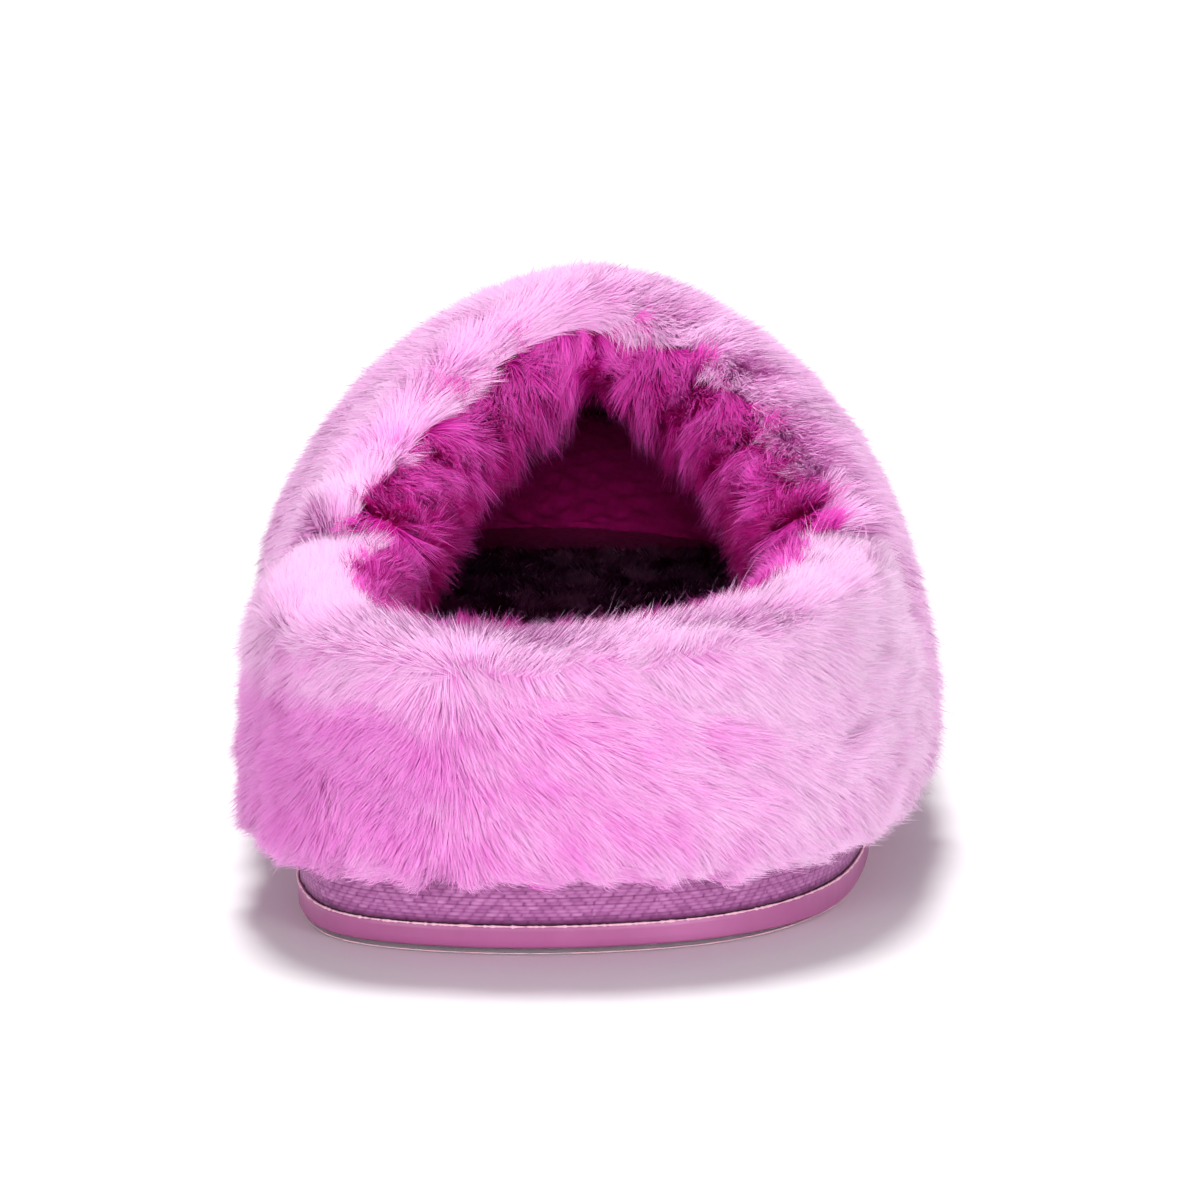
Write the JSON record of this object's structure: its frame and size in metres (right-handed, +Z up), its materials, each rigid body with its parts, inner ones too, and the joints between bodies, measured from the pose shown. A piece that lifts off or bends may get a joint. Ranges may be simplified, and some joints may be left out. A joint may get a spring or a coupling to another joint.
{
  "type": "slipper",
  "caption": "Closed-toe, low-heel house slipper for the right foot, with a long-pile plush upper and lining, a woven tape round the platform and a moulded flat sole.",
  "frame": {"origin": "bottom centre of the bounding box, on the floor under the middle of the slipper", "axes": "+Y from the heel to the toe, +X to the wearer's right, which is the outer side of this right slipper, +Z up"},
  "size_m": [0.1144, 0.2788, 0.0825],
  "materials": {
    "outsole_rubber": "satin",
    "midsole_foam": "matte foam",
    "woven_tape": "coarse twill weave",
    "insole_board": "matte fibreboard",
    "padding_foam": "open-cell foam",
    "sock_plush": "short plush",
    "outer_fur": "long soft pile",
    "lining_fur": "plush pile",
    "heel_stiffener": "matte",
    "thread": "twisted thread"
  },
  "bodies": {
    "root": {"outsole": "outsole_rubber", "midsole": "midsole_foam", "cover_tape": "woven_tape", "insole_board": "insole_board", "sock_foam": "padding_foam", "sock_plush": "sock_plush", "vamp_fur": "outer_fur", "vamp_padding": "padding_foam", "vamp_lining_outer": "lining_fur", "vamp_lining_inner": "lining_fur", "heel_fur": "outer_fur", "heel_counter": "heel_stiffener", "heel_padding": "padding_foam", "heel_lining": "lining_fur", "side_seam_outer": "thread", "side_seam_inner": "thread", "lining_seam": "thread", "vamp_topline_stitch": "thread", "heel_topline_stitch": "thread", "lasting_stitch": "thread"}
  },
  "joints": []
}
